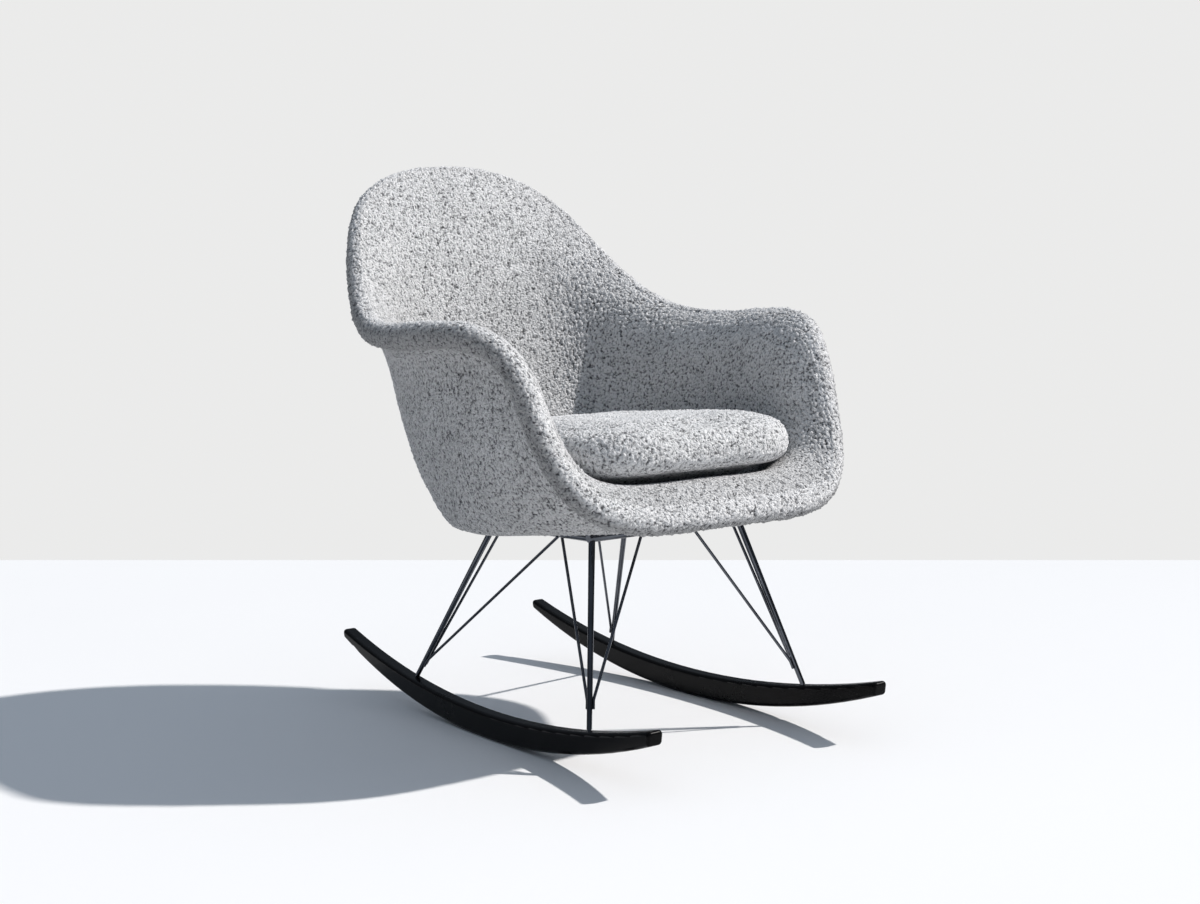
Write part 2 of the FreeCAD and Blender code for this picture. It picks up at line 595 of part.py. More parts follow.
NR_U = NU
NORMAL_SIGN = 1
if middle(4, 0.02)[1].z < 0:
    NORMAL_SIGN = -1

VS = [0.0, 0.05, 0.12, 0.20, 0.28, 0.36, 0.44, 0.52, 0.60, 0.68, 0.76, 0.83, 0.89, 0.94, 0.975, 1.0]


def wall(offset, vs=VS):
    """Rows of points at a distance from the middle surface, from the flat middle to the rim."""
    rows = []
    for v in vs:
        row = []
        for i in range(NU):
            p, n, t = middle(i, v)
            row.append(p + n * offset)
        rows.append(row)
    return rows


def rim(offset, radius, angles):
    """Rows round the rim: 90 degrees is the inside of the wall, -90 the outside."""
    rows = []
    for a in angles:
        c, s = math.cos(math.radians(a)), math.sin(math.radians(a))
        row = []
        for i in range(NU):
            p, n, t = middle(i, 1.0)
            row.append(p + n * (offset + radius * s) + t * (radius * c))
        rows.append(row)
    return rows


def surface(rows):
    """A surface through the rows, closed in the ring direction."""
    m = len(rows)
    if m == 2:
        # a ruled band
        poles_v = rows
        vk, vm, deg = [0.0, 1.0], [2, 2], 1
    else:
        dist = [0.0]
        for j in range(1, m):
            dist.append(dist[-1] + sum((rows[j][i] - rows[j - 1][i]).Length for i in range(NU)) / NU)
        tau = [d / dist[-1] for d in dist]
        kn = [0.0] * 4 + [sum(tau[j + 1:j + 4]) / 3.0 for j in range(m - 4)] + [1.0] * 4
        a = [basis(m, kn, t) for t in tau]
        a[-1] = [0.0] * (m - 1) + [1.0]
        poles_v = solve(a, rows)
        vk, vm = [], []
        for k in kn:
            if vk and abs(vk[-1] - k) < 1e-12:
                vm[-1] += 1
            else:
                vk.append(k)
                vm.append(1)
        deg = 3
    # periodic interpolation round each ring
    circ = [[0.0] * NU for _ in range(NU)]
    for i in range(NU):
        circ[i][i] = 4.0 / 6.0
        circ[i][(i - 1) % NU] = 1.0 / 6.0
        circ[i][(i + 1) % NU] = 1.0 / 6.0
    cols = [[poles_v[j][i] for j in range(len(poles_v))] for i in range(NU)]
    poles = solve(circ, cols)
    s = Part.BSplineSurface()
    s.buildFromPolesMultsKnots(poles, [1] * (NU + 1), vm, [float(i) for i in range(NU + 1)], vk, True, False, 3, deg)
    return s


def lid(surf, last):
    """Flat face that closes the first or last ring of a surface."""
    u0, u1, v0, v1 = surf.bounds()
    edge = surf.vIso(v1 if last else v0).toShape()
    return Part.Face(Part.Wire([edge]))


def closed(bands):
    """A solid from bands that follow each other; the first ring and the last are flat."""
    surfs = [surface(b) for b in bands]
    faces = [s.toShape() for s in surfs] + [lid(surfs[0], False), lid(surfs[-1], True)]
    shell = Part.makeShell(faces)
    shell.sewShape(1e-4)
    if shell.ShapeType != "Shell":
        shell = shell.Shells[0]
    solid = Part.Solid(shell)
    if solid.Volume < 0:
        solid.reverse()
    if not solid.isValid():
        solid.fix(1e-4, 1e-4, 1e-3)
    return solid


def skin(label, shape, holes=None):
    if holes:
        shape = shape.cut(Part.makeCompound(holes))
        if len(shape.Solids) != 1:
            raise RuntimeError(label + " is not one solid")
        shape = shape.Solids[0]
    f = doc.addObject("Part::Feature", label + "_form")
    f.Shape = shape
    f.Placement = FreeCAD.Placement(V(0, 0, 0), FreeCAD.Rotation())
    return keep(f, label)


W, CT, GAP = D["wall_half"], D["cover_thick"], D["layer_gap"]
SI, SO = D["shell_inner"], D["shell_outer"]
foam = W - CT - GAP                               # outside of the foam
bolt_cyl = lambda r, z0, z1: [Part.makeCylinder(r, z1 - z0, V(x, y, z0)) for x, y in FIX]

ce, re = (SI - SO) / 2.0, (SI + SO) / 2.0


def one_side(a, b):
    """A layer between two distances from the middle surface, with a square edge at the rim."""
    top, low = wall(a), wall(b)
    return closed([top, [top[-1], low[-1]], low[::-1]])


skin("shell_moulding", one_side(SI, -SO), bolt_cyl(TEE_BARREL_R, MID - 20, MID + 20))
# outer padding and cover: the outside only, ending square under the rim
skin("outer_padding", one_side(-(SO + GAP), -foam), bolt_cyl(bh, MID - 40, MID + 20))
skin("outer_cover", one_side(-(W - CT), -W), bolt_cyl(bh, MID - 40, MID + 20))

# inner padding and cover: they wrap the rim and end just past the outer layers' edge
def wrapped(r_out, r_in, inner_offset):
    """From the flat middle, over the inside, round the rim to the outside, and back."""
    a_out = -90.0 + math.degrees(GAP / r_out)
    a_in = -90.0 + math.degrees(GAP / max(r_in, 1.0))
    outer = wall(r_out) + rim(0.0, r_out, [75, 55, 35, 15, -5, -25, -45, -65, a_out])
    inner_rows = rim(0.0, r_in, [a_in, -65, -45, -25, -5, 15, 35, 55, 75])
    inner = inner_rows + wall(inner_offset)[::-1]
    return closed([outer, [outer[-1], inner[0]], inner])


def padding():
    """Over the inside, round the shell's square edge as a thick bead, down to the outer padding."""
    a_out = -90.0 + math.degrees(GAP / foam)
    outer = wall(foam) + rim(0.0, foam, [75, 55, 35, 15, -5, -25, -45, -65, a_out])
    inside = wall(SI + GAP)
    ahead = lambda off: [p + n * off + t * GAP for p, n, t in (middle(i, 1.0) for i in range(NU))]
    low = ahead(-(SO + GAP))
    return closed([outer, [outer[-1], low], [low, ahead(SI + GAP)], [ahead(SI + GAP), inside[-1]], inside[::-1]])


tee_pockets = bolt_cyl(tr + 0.4, MID, MID + SI + tf + 0.5)
skin("inner_padding", padding(), tee_pockets)
skin("inner_cover", wrapped(W, W - CT, W - CT))

# ------------------------------------------------------------------ loose seat cushion
a_c, b_c, yc = D["cushion_half_width"], D["cushion_half_length"], -D["cushion_middle_y"]
ze, he = D["cushion_edge_height"], D["cushion_edge_half"]
zt, zb_ = D["cushion_top"], D["cushion_bottom"]
POWER = 3.9


def plan(i, f):
    """Outline of the cushion, scaled by f about its middle: narrower at the back."""
    th = 2.0 * math.pi * i / NU - math.pi / 2.0
    c, s = math.cos(th), math.sin(th)
    ex = math.copysign(abs(c) ** (2.0 / POWER), c) if abs(c) > 1e-9 else 0.0
    ey = math.copysign(abs(s) ** (2.0 / POWER), s) if abs(s) > 1e-9 else 0.0
    x = a_c * ex * f * (1.0 - 0.05 * (ey * f + 1.0))
    y = yc + b_c * ey * f
    return x, y, ey


# (scale of the outline, height above or below the edge's middle, lift at the front)
BOTTOM = [(0.40, "b", 0.0), (0.49, "b", 0.0), (0.58, -58.0, 3.0), (0.66, -52.0, 8.0), (0.76, -44.0, 11.0), (0.87, -35.5, 8.0), (0.955, -26.0, 3.0), (0.99, -13.5, 0.5)]
EDGE = [(1.0, 0.0, 0.0)]
TOP = [(0.99, 14.0, 0.0), (0.955, 26.0, 0.0), (0.87, 34.0, 0.0), (0.72, 38.5, 0.0), (0.50, 41.0, 0.0), (0.30, "t", 0.0), (0.20, "t", 0.0)]


def cushion_rows(specs, inset=0.0):
    rows = []
    for f, h, lift in specs:
        row = []
        for i in range(NU):
            x, y, ey = plan(i, f)
            tilt = -0.012 * (y - yc)
            if h == "b":
                z = zb_
            elif h == "t":
                z = zt
            else:
                front = max(0.0, -ey)
                z = ze + tilt + h + lift * front * front
            row.append(V(x, y, z))
        rows.append(row)
    if inset:
        out = []
        for j, row in enumerate(rows):
            new = []
            for i in range(NU):
                a, b = row[(i + 1) % NU], row[(i - 1) % NU]
                up = rows[min(j + 1, len(rows) - 1)][i] - rows[max(j - 1, 0)][i]
                n = (a - b).cross(up)
                n.normalize()
                h = specs[j][1]
                if h == "b":
                    n = V(0, 0, -1)
                elif h == "t":
                    n = V(0, 0, 1)
                new.append(row[i] - n * inset)
            out.append(new)
        rows = out
    return rows


all_rows = BOTTOM + EDGE + TOP
ct = D["cushion_cover_thick"]
skin("cushion_core", closed([cushion_rows(all_rows, ct + GAP)]))
outer_all = cushion_rows(all_rows)
inner_all = cushion_rows(all_rows, ct)
seam = len(BOTTOM)


def shifted(row, dz):
    return [V(p.x, p.y, p.z + dz) for p in row]


# the two panels meet at a seam round the middle of the edge
bo, bi = outer_all[:seam + 1], inner_all[:seam + 1]
to, ti = outer_all[seam:], inner_all[seam:]
to = [shifted(to[0], 0.3)] + to[1:]
ti = [shifted(ti[0], 0.3)] + ti[1:]
bo = bo[:-1] + [shifted(bo[-1], -0.3)]
bi = bi[:-1] + [shifted(bi[-1], -0.3)]
zl, zw = D["zip_length"], D["zip_width"]
zy = yc + 20.0
slot = Part.makeBox(zl + 0.6, zw + 0.6, 10, V(-zl / 2 - 0.3, zy - zw / 2 - 0.3, zb_ - 5))
skin("cushion_bottom_cover", closed([bo, [bo[-1], bi[-1]], bi[::-1]]), [slot])
skin("cushion_top_cover", closed([to[::-1], [to[0], ti[0]], ti]))

tape = Part.makeBox(zl, zw, 0.9, V(-zl / 2, zy - zw / 2, zb_ + 0.5))
coil = Part.makeCylinder(0.9, zl - 6, V(-zl / 2 + 3, zy, zb_ + 1.0), V(1, 0, 0))
zipper = doc.addObject("Part::Feature", "cushion_zip_strip")
zipper.Shape = tape.fuse(coil).removeSplitter()
keep(zipper, "cushion_zip")

doc.recompute()

# ------------------------------------------------------------------ checks and export
os.makedirs("parts", exist_ok=True)
bad = []
for o in doc.Objects:
    st = [str(x) for x in o.State]
    if "Invalid" in st or "Error" in st:
        bad.append("%s state %s" % (o.Name, st))
for o in pieces:
    sh = o.Shape
    if sh.isNull() or not sh.isValid() or not sh.Solids:
        bad.append("%s shape null %s valid %s solids %d" % (o.Label, sh.isNull(), (not sh.isNull()) and sh.isValid(), len(sh.Solids)))
    elif min(s.Volume for s in sh.Solids) <= 0:
        bad.append("%s has a solid with no volume" % o.Label)
if bad:
    raise RuntimeError("; ".join(bad))
labels = [o.Label for o in pieces]
if len(set(labels)) != len(labels):
    raise RuntimeError("labels repeat: %s" % labels)
for o in pieces:
    o.Shape.exportStep("parts/%s.step" % o.Label)
    bb = o.Shape.BoundBox
    print("%-26s vol %10.0f  x %7.1f %7.1f  y %7.1f %7.1f  z %7.1f %7.1f" % (o.Label, o.Shape.Volume, bb.XMin, bb.XMax, bb.YMin, bb.YMax, bb.ZMin, bb.ZMax))
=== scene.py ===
# Rocking armchair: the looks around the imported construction.  Metres, +Z up, the seat faces -Y.
import math
import bpy
import numpy as np
from mathutils import Matrix, Vector


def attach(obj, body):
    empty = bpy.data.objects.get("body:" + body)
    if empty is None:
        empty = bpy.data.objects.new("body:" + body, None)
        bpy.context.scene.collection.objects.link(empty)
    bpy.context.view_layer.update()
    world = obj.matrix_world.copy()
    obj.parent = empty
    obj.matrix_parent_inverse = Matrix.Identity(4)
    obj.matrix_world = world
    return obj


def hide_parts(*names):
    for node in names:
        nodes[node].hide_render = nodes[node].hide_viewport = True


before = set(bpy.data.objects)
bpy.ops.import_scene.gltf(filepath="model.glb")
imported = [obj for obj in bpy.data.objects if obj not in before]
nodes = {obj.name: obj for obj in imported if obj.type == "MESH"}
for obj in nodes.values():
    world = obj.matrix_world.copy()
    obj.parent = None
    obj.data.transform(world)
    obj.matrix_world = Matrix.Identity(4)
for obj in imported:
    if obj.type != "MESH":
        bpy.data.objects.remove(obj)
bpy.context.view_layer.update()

scene = bpy.context.scene
FINE = True
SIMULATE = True

# ------------------------------------------------------------------ numbers shared with the construction
SC, DY, MID = 1.1, -0.0331, 0.3058
WALL = 0.0165                     # half of the padded wall
NET = [
 [(0,-107,278),(0,-141,278),(0,-185,275),(0,-217,294),(0,-243,306),(0,-262,305),(0,-289,278)],
 [(24,-105,278),(33,-140,278),(44,-184,275),(54,-217,293),(60,-242,305),(62,-262,303),(68,-288,275)],
 [(47,-98,278),(63,-134,278),(84,-177,275),(103,-211,294),(113,-237,306),(118,-257,304),(131,-285,278)],
 [(67,-86,278),(88,-121,278),(116,-162,276),(140,-197,299),(151,-225,317),(159,-246,316),(174,-269,299)],
 [(83,-69,278),(107,-102,278),(140,-141,276),(165,-177,312),(174,-207,342),(184,-230,349),(198,-245,341)],
 [(95,-51,278),(121,-79,278),(157,-116,273),(181,-156,327),(186,-191,376),(194,-215,393),(207,-225,392)],
 [(102,-33,278),(131,-55,278),(169,-89,268),(191,-132,343),(192,-173,410),(197,-199,437),(214,-208,442)],
 [(107,-15,278),(138,-32,278),(178,-59,263),(199,-100,355),(198,-146,436),(203,-172,470),(226,-183,478)],
 [(109,3,278),(141,-8,278),(183,-25,260),(204,-58,362),(205,-100,451),(212,-124,487),(243,-135,496)],
 [(107,23,278),(139,20,278),(180,16,261),(204,-4,364),(209,-34,452),(218,-52,488),(255,-57,499)],
 [(101,42,278),(132,49,278),(170,58,264),(198,55,366),(206,41,448),(218,31,482),(256,34,498)],
 [(90,61,278),(119,75,278),(154,97,271),(184,113,370),(194,112,449),(207,110,486),(241,119,510)],
 [(75,76,278),(102,96,278),(133,129,280),(161,162,382),(173,172,470),(186,179,519),(216,192,551)],
 [(57,87,278),(80,111,278),(105,149,288),(133,195,400),(148,217,510),(163,234,581),(190,257,620)],
 [(38,94,278),(54,120,278),(73,161,295),(98,216,417),(115,249,548),(129,274,641),(153,309,689)],
 [(19,98,278),(28,126,278),(38,169,300),(52,227,426),(62,264,567),(71,291,670),(85,331,725)],
 [(0,100,278),(0,128,278),(0,171,301),(0,230,429),(0,268,572),(0,293,678),(0,334,736)],
]
half = np.array(NET, float) * SC / 1000.0
half[..., 1] += DY
half[..., 2] += MID - 0.278 * SC
net = np.concatenate([half, half[1:-1][::-1] * np.array([-1.0, 1.0, 1.0])])
NU, NR = net.shape[:2]


# ------------------------------------------------------------------ the padded wall's middle surface
def along(n, v):
    """Cubic weights of n poles at v, from 0 to 1."""
    kn = np.array([0.0] * 4 + [i / (n - 3.0) for i in range(1, n - 3)] + [1.0] * 4)
    v = np.clip(np.asarray(v, float), 0.0, 1.0 - 1e-9)
    b = [((v >= kn[j]) & (v < kn[j + 1])).astype(float) for j in range(len(kn) - 1)]
    for d in range(1, 4):
        last = b
        b = []
        for j in range(len(last) - 1):
            w = np.zeros_like(v)
            if kn[j + d] > kn[j]:
                w = w + (v - kn[j]) / (kn[j + d] - kn[j]) * last[j]
            if kn[j + d + 1] > kn[j + 1]:
                w = w + (kn[j + d + 1] - v) / (kn[j + d + 1] - kn[j + 1]) * last[j + 1]
            b.append(w)
    return np.stack(b, -1)


def around(u):
    """Rows of the net mixed at u, in steps of the net and closed into a ring, and how they change."""
    i = np.floor(u).astype(int)
    t = (u - i)[:, None, None]
    p = [net[(i + k) % NU] for k in (-1, 0, 1, 2)]
    w = [(1 - t) ** 3, 3 * t ** 3 - 6 * t ** 2 + 4, -3 * t ** 3 + 3 * t ** 2 + 3 * t + 1, t ** 3]
    dw = [-3 * (1 - t) ** 2, 9 * t ** 2 - 12 * t, -9 * t ** 2 + 6 * t + 3, 3 * t ** 2]
    return sum(a * b for a, b in zip(w, p)) / 6.0, sum(a * b for a, b in zip(dw, p)) / 6.0


def unit(a):
    return a / np.maximum(np.linalg.norm(a, axis=-1, keepdims=True), 1e-12)


def middle(u, v):
    """Points, inward normals and outward tangents, as arrays of len(v) rows of len(u) points."""
    rows, rows_du = around(u)
    h = 1e-4
    b = along(NR, v)
    lo, hi = np.maximum(v - h, 0), np.minimum(v + h, 1)
    db = (along(NR, hi) - along(NR, lo)) / (hi - lo)[:, None]
    p = np.einsum("vj,ujc->vuc", b, rows)
    du = np.einsum("vj,ujc->vuc", b, rows_du)
    dv = np.einsum("vj,ujc->vuc", db, rows)
    n = unit(np.cross(dv, du))
    if n[0, :, 2].mean() < 0:
        n = -n
    t = unit(dv - n * (dv * n).sum(-1, keepdims=True))
    return p, n, t


# ------------------------------------------------------------------ loop pile of the fabric
def scramble(cell, seed):
    """Three fixed numbers from 0 to 1 for each whole-number cell."""
    x, y, z = (cell[..., k].astype(np.int64) for k in range(3))
    a = (x * 73856093) ^ (y * 19349663) ^ (z * 83492791) ^ (seed * 2654435761)
    out = []
    for k in range(3):
        a = (a * 6364136223846793005 + 1442695040888963407 + k) & 0x7FFFFFFFFFFFFFFF
        out.append(((a >> 20) & 0xFFFFF) / float(0xFFFFF))
    return np.stack(out, -1)


def lumps(p, size, seed):
    """Round loops of about that size: 1 at a loop's top, 0 in the gaps between loops."""
    q = p / size
    base = np.floor(q)
    best = np.full(len(q), 9.0)
    second = np.full(len(q), 9.0)
    for dx in (-1, 0, 1):
        for dy in (-1, 0, 1):
            for dz in (-1, 0, 1):
                cell = base + (dx, dy, dz)
                d = q - cell - 0.1 - 0.8 * scramble(cell, seed)
                d = (d * d).sum(-1)
                second = np.minimum(second, np.maximum(best, d))
                best = np.minimum(best, d)
    return np.clip(1.25 * (np.sqrt(second) - np.sqrt(best)), 0, 1) * 0.45 + np.clip(1.0 - np.sqrt(best), 0, 1) * 0.75


def swells(p, size, seed):
    """Smooth ups and downs of about that size, from -1 to 1."""
    q = p / size
    base = np.floor(q)
    f = q - base
    s = f * f * (3 - 2 * f)
    out = np.zeros(len(q))
    for dx in (0, 1):
        for dy in (0, 1):
            for dz in (0, 1):
                w = (s[:, 0] if dx else 1 - s[:, 0]) * (s[:, 1] if dy else 1 - s[:, 1]) * (s[:, 2] if dz else 1 - s[:, 2])
                out += w * scramble(base + (dx, dy, dz), seed)[:, 0]
    return out * 2 - 1


def pile_height(p):
    """Height of the pile, about 0 to 1, from three sizes of loop."""
    warp = np.stack([swells(p, 0.006, 11), swells(p, 0.006, 12), swells(p, 0.006, 13)], -1) * 0.0016
    big = lumps(p + warp, 0.0062, 1)
    small = lumps(p - warp, 0.0042, 2)
    curl = 1.0 - np.abs(swells(p + warp, 0.0034, 3))
    return 0.42 * big + 0.34 * small + 0.24 * curl


# ------------------------------------------------------------------ meshes
def quads(rows, n, start=0):
    """Faces of a grid of rows, each a closed ring of n points."""
    r = np.arange(rows - 1)[:, None]
    c = np.arange(n)[None, :]
    a = r * n + c
    b = r * n + (c + 1) % n
    return np.stack([a, b, b + n, a + n], -1).reshape(-1, 4) + start


def make_mesh(name, points, faces, uv=None, **values):
    """A mesh from arrays. faces is a list of arrays, one for each number of corners."""
    me = bpy.data.meshes.new(name)
    loops = np.concatenate([f.reshape(-1) for f in faces]).astype(np.int32)
    sizes = np.concatenate([np.full(len(f), f.shape[1]) for f in faces])
    starts = np.concatenate([[0], np.cumsum(sizes)[:-1]]).astype(np.int32)
    me.vertices.add(len(points))
    me.vertices.foreach_set("co", points.astype(np.float32).reshape(-1))
    me.loops.add(len(loops))
    me.loops.foreach_set("vertex_index", loops)
    me.polygons.add(len(sizes))
    me.polygons.foreach_set("loop_start", starts)
    me.update(calc_edges=True)
    me.polygons.foreach_set("use_smooth", np.ones(len(sizes), bool))
    if uv is not None:
        layer = me.uv_layers.new(name="OFBake")
        layer.data.foreach_set("uv", uv.astype(np.float32).reshape(-1))
    for key, value in values.items():
        a = me.attributes.new(key, "FLOAT", "POINT")
        a.data.foreach_set("value", value.astype(np.float32))
    me.validate()
    me.update()
    return me


def link(name, me):
    o = bpy.data.objects.new(name, me)
    scene.collection.objects.link(o)
    return o


def even(lengths, count, closed):
    """Places from 0 to 1 that split a line evenly, given its length at even steps."""
    total = np.concatenate([[0], np.cumsum(lengths)])
    want = np.linspace(0, total[-1], count + 1)[:-1] if closed else np.linspace(0, total[-1], count)
    return np.interp(want, total, np.linspace(0, 1, len(total)))


def normals_of_grid(p):
    """Normals of rows of ring points; the first and last rows use one-sided steps."""
    du = np.roll(p, -1, 1) - np.roll(p, 1, 1)
    dv = np.empty_like(p)
    dv[1:-1] = p[2:] - p[:-2]
    dv[0], dv[-1] = p[1] - p[0], p[-1] - p[-2]
    return unit(np.cross(du, dv))


# ------------------------------------------------------------------ the upholstered bucket
def bucket():
    around_n = 1280 if FINE else 560
    up_n = 270 if FINE else 120
    rim_n = 42 if FINE else 19
    lid_n = 22 if FINE else 10
    u = np.linspace(0, NU, 1025)
    ring = middle(u, np.array([0.55, 1.0]))[0]
    step = np.linalg.norm(np.diff(ring, axis=1), axis=-1).mean(0)
    u = even(step, around_n, True) * NU
    v = np.linspace(0, 1, 401)
    side = middle(np.arange(NU, dtype=float), v)[0]
    v = even(np.linalg.norm(np.diff(side, axis=0), axis=-1).mean(1), up_n, False) * 0.989
    p, n, t = middle(u, v)
    inner = p + n * WALL
    # the rolled edge stands proud of the outside, which starts behind it and comes out again below
    arc_v = np.concatenate([[0], np.cumsum(np.linalg.norm(np.diff(p, axis=0), axis=-1).mean(1))])
    back = (arc_v[-1] - arc_v)[:, None, None]
    inset = 0.0012 + 0.0042 * np.exp(-np.maximum(back - 0.011, 0) / 0.05)
    outer = (p - n * (WALL - inset))[back[:, 0, 0] > 0.0125]
    a = np.linspace(math.pi / 2, -math.pi / 2 - math.radians(46), rim_n + 2)[1:-1][:, None, None]
    bead = WALL + 0.0008
    rim = p[-1][None] + bead * (n[-1][None] * np.sin(a) + t[-1][None] * np.cos(a))
    f = (1 - np.arange(lid_n, 0, -1) / (lid_n + 1.0))[:, None, None]
    first, last = inner[0], outer[0]
    lid_in = first.mean(0) + (first - first.mean(0)) * f
    lid_out = (last.mean(0) + (last - last.mean(0)) * f)[::-1]
    grid = np.concatenate([lid_in, inner, rim, outer[::-1], lid_out])
    rows, cols = grid.shape[:2]
    nor = normals_of_grid(grid)
    middle_row = lid_n + up_n // 2
    if (nor[middle_row] * n[up_n // 2]).sum(-1).mean() < 0:
        nor = -nor
    flat = grid.reshape(-1, 3)
    # the outside is stretched tighter, with a finer, more upright grain
    k = np.zeros(rows)
    k[lid_n + up_n + rim_n:] = 1.0
    outside = np.repeat(k, cols)
    h_in = pile_height(flat)
    h_out = pile_height(flat * np.array([1.25, 1.25, 0.7]) + 0.31)
    h = h_in * (1 - outside) + h_out * outside
    height = 0.0054 * (h - 0.53) * (1 - 0.2 * outside)
    soft = 0.0009 * swells(flat, 0.045, 21) + 0.0005 * swells(flat, 0.018, 22)
    # under the loose cushion and round the fixings the pile is pressed flat
    x, y, z = flat.T
    cushion = (np.abs(x) < 0.176) & (y > -0.325) & (y < 0.085) & (z < 0.385)
    pressed = np.where(cushion & (outside < 0.5), 1.0, 0.0)
    under = np.where((outside > 0.5) & (z < 0.2935), 1.0, 0.0)
    move = (height + soft) * (1 - pressed) * (1 - under) + (np.minimum(height, 0) * 0.5 - 0.0006) * np.maximum(pressed, under)
    moved = flat + nor.reshape(-1, 3) * move[:, None]
    # the padding hangs a little lower round the frame than between its rods
    low = np.clip((0.335 - z) / 0.04, 0, 1)
    low = low * low * (3 - 2 * low)
    apart = np.maximum((np.abs(x) - 0.086) / 0.045, np.abs(y + 0.085) / 0.045 - 0.088 / 0.045)
    apart = np.clip(apart, 0, 1)
    moved[:, 2] -= 0.0105 * low * apart * apart * (3 - 2 * apart) * (outside > 0.5)
    centre_in, centre_out = moved[:cols].mean(0), moved[-cols:].mean(0)
    points = np.concatenate([moved, [centre_in, centre_out]])
    h = np.concatenate([h, [0.5, 0.5]])
    # painted shade in the cloth's colour: darkest on the underside of the rolled edge, dark on the outside just
    # below it, and a little down inside the bucket; the rest of the outside is a darker tone, partly its own cloth
    # and partly painted shade
    turn = np.clip((42.0 - np.degrees(a[:, 0, 0])) / 52.0, 0, 1)
    shade = np.zeros(rows)
    shade[lid_n + up_n:lid_n + up_n + rim_n] = 2.0 * turn * turn * (3 - 2 * turn)
    gap = back[:, 0, 0][back[:, 0, 0] > 0.0125][::-1]
    shade[lid_n + up_n + rim_n:rows - lid_n] = 1.0 + 0.9 * np.exp(-np.maximum(gap - 0.0125, 0) / 0.018)
    shade[rows - lid_n:] = 1.0
    deep = np.clip((0.70 - z) / 0.22, 0, 1)
    # painted shade: outside rows keep the shade values above; inside rows get painted shade deep in the bucket, away
    # from the rim
    outside = np.where(outside > 0.5, np.repeat(shade, cols), np.maximum(np.repeat(shade, cols), 0.62 * deep * deep * (3 - 2 * deep) * (1 - np.repeat(np.arange(rows) >= lid_n + up_n - 8, cols))))
    outside = np.concatenate([outside, [0.0, 1.0]])
    q = quads(rows, cols)
    c = np.arange(cols)
    ci, co = len(points) - 2, len(points) - 1
    fan_in = np.stack([np.full(cols, ci), (c + 1) % cols, c], -1)
    e = (rows - 1) * cols
    fan_out = np.stack([np.full(cols, co), e + c, e + (c + 1) % cols], -1)
    # the map: the ring runs along it, with the long side of the wall up it
    arc = np.concatenate([[0], np.cumsum(np.linalg.norm(np.diff(grid, axis=0), axis=-1).mean(1))])
    arc = arc / arc[-1]
    r0, c0 = np.divmod(q[:, 0], cols)
    uq = np.empty((len(q), 4, 2))
    for m, (dr, dc) in enumerate(((0, 0), (0, 1), (1, 1), (1, 0))):
        uq[:, m, 0] = (c0 + dc) / cols
        uq[:, m, 1] = 0.01 + 0.98 * arc[r0 + dr]
    ui = np.stack([np.stack([(c + 0.5) / cols, np.full(cols, 0.002)], -1), np.stack([(c + 1) / cols, np.full(cols, 0.01)], -1), np.stack([c / cols, np.full(cols, 0.01)], -1)], 1)
    uo = np.stack([np.stack([(c + 0.5) / cols, np.full(cols, 0.998)], -1), np.stack([c / cols, np.full(cols, 0.99)], -1), np.stack([(c + 1) / cols, np.full(cols, 0.99)], -1)], 1)
    faces = [q, np.concatenate([fan_in, fan_out])]
    uv = np.concatenate([uq.reshape(-1, 2), ui.reshape(-1, 2), uo.reshape(-1, 2)])
    # faces look outwards
    tri = points[q[:, [0, 1, 2]]], points[q[:, [0, 2, 3]]]
    volume = sum((np.cross(t_[:, 0], t_[:, 1]) * t_[:, 2]).sum() for t_ in tri)
    if volume < 0:
        faces = [f_[:, ::-1] for f_ in faces]
        parts, k0 = [], 0
        for f_ in faces:
            m = f_.size
            parts.append(uv[k0:k0 + m].reshape(len(f_), f_.shape[1], 2)[:, ::-1].reshape(-1, 2))
            k0 += m
        uv = np.concatenate(parts)
    return link("seat_upholstery", make_mesh("seat_upholstery", points, faces, uv, pile=h, outside=outside))


# ------------------------------------------------------------------ the loose cushion
def apply_modifiers(o):
    dg = bpy.context.evaluated_depsgraph_get()
    me = bpy.data.meshes.new_from_object(o.evaluated_get(dg), depsgraph=dg)
    o.modifiers.clear()
    old = o.data
    o.data = me
    bpy.data.meshes.remove(old)
    return o


def coords(me):
    a = np.empty(len(me.vertices) * 3, np.float32)
    me.vertices.foreach_get("co", a)
    return a.reshape(-1, 3).astype(float)


def vertex_normals(me):
    a = np.empty(len(me.vertices) * 3, np.float32)
    me.vertex_normals.foreach_get("vector", a)
    return a.reshape(-1, 3).astype(float)


